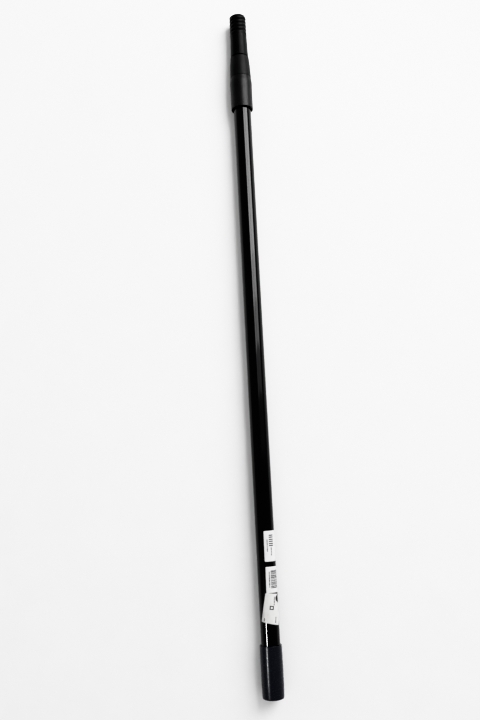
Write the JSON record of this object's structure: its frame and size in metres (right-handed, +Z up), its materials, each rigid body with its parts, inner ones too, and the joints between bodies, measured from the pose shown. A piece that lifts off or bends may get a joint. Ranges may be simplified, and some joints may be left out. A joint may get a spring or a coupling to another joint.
{
  "type": "roller extension pole",
  "caption": "Two-section telescopic pole with a twist-lock collar, a coarse threaded tip for a paint roller frame and a closed end cap.",
  "frame": {"origin": "under the middle of the collapsed pole's length, on the surface that it lies on", "axes": "+X along the pole towards its threaded tip, +Z up from the surface, +Y completes the frame"},
  "size_m": [1.0754, 0.036, 0.036],
  "materials": {
    "tube_paint": "gloss black lacquer",
    "inner_tube_paint": "satin black lacquer",
    "cap_plastic": "semi-gloss blue-black moulding",
    "collar_plastic": "fine spark-eroded moulding texture",
    "nut_plastic": "fine spark-eroded moulding texture",
    "tip_plastic": "satin moulding",
    "guide_plastic": "natural acetal",
    "plug_plastic": "satin moulding",
    "pin_steel": "plain steel pin",
    "label_paper": "coated white label",
    "price_paper": "matt white label"
  },
  "bodies": {
    "pole_body": {"outer_tube": "tube_paint", "end_cap": "cap_plastic", "collar_body": "collar_plastic", "collar_pins": "pin_steel", "front_bush": "guide_plastic", "size_label": "label_paper", "barcode_label": "label_paper", "price_label": "price_paper"},
    "guide": {"guide_sleeve": "guide_plastic"},
    "inner_pole": {"inner_tube": "inner_tube_paint", "end_plug": "plug_plastic", "threaded_tip": "tip_plastic", "tip_pin": "pin_steel"},
    "clamp": {"clamp_ring": "guide_plastic"},
    "nut": {"lock_nut": "nut_plastic"}
  },
  "joints": [
    {"name": "pole_slide", "type": "slide", "parent": "pole_body", "child": "guide", "axis": [1, 0, 0], "range_m": [0, 0.9]},
    {"name": "pole_twist", "type": "hinge", "parent": "guide", "child": "inner_pole", "pos_m": [0, 0, 0.018], "axis": [1, 0, 0], "continuous": true},
    {"name": "nut_travel", "type": "slide", "parent": "pole_body", "child": "clamp", "axis": [1, 0, 0], "range_m": [0, 0.00101]},
    {"name": "nut_turn", "type": "hinge", "parent": "clamp", "child": "nut", "pos_m": [0.447, 0, 0.018], "axis": [1, 0, 0], "range_deg": [0, 180]}
  ],
  "couplings": [
    {"joint": "nut_travel", "follows": "nut_turn", "m_per_rad": 0.00031831}
  ]
}
